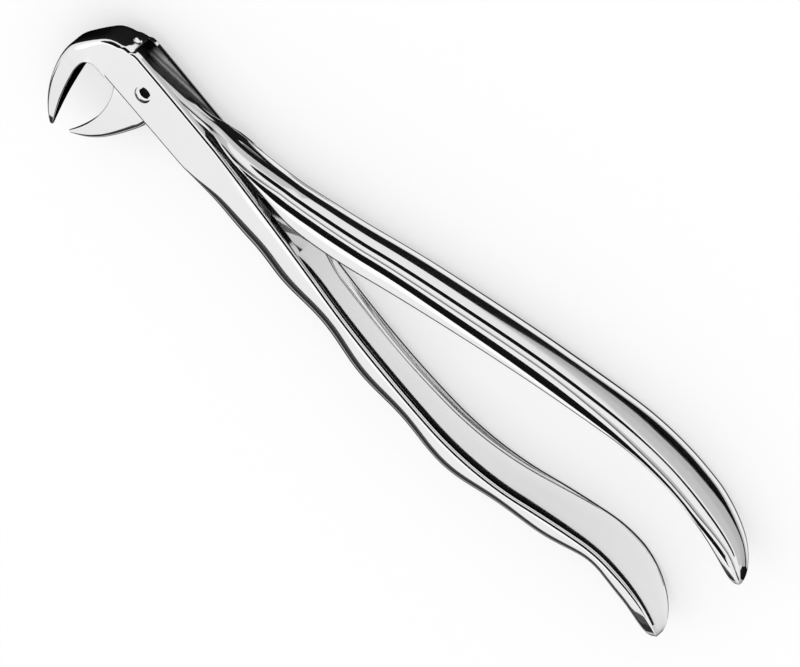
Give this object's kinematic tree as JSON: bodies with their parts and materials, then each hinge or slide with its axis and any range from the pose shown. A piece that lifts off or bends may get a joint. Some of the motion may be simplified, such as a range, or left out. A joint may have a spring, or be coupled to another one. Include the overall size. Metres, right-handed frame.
{
  "type": "dental extraction forceps",
  "caption": "Polished steel lower-molar extraction forceps: hooked cow-horn beaks at right angles to hollow fluted handles, crossing in a riveted box joint.",
  "frame": {"origin": "where the rivet's axis meets the flat back face of the box joint", "axes": "+X from the beaks to the handle ends, +Y from the scalloped handle to the smooth handle, +Z along the rivet towards its domed head"},
  "size_m": [0.176, 0.0718, 0.0136],
  "materials": {
    "polished_steel": "mirror-polished stainless steel",
    "rivet_steel": "polished stainless steel"
  },
  "bodies": {
    "female": {"female_lever": "polished_steel", "pivot_rivet": "rivet_steel"},
    "male": {"male_lever": "polished_steel"}
  },
  "joints": [
    {"name": "pivot", "type": "hinge", "parent": "female", "child": "male", "pos_m": [0, 0, 0], "axis": [0, 0, 1], "range_deg": [-3, 20]}
  ]
}
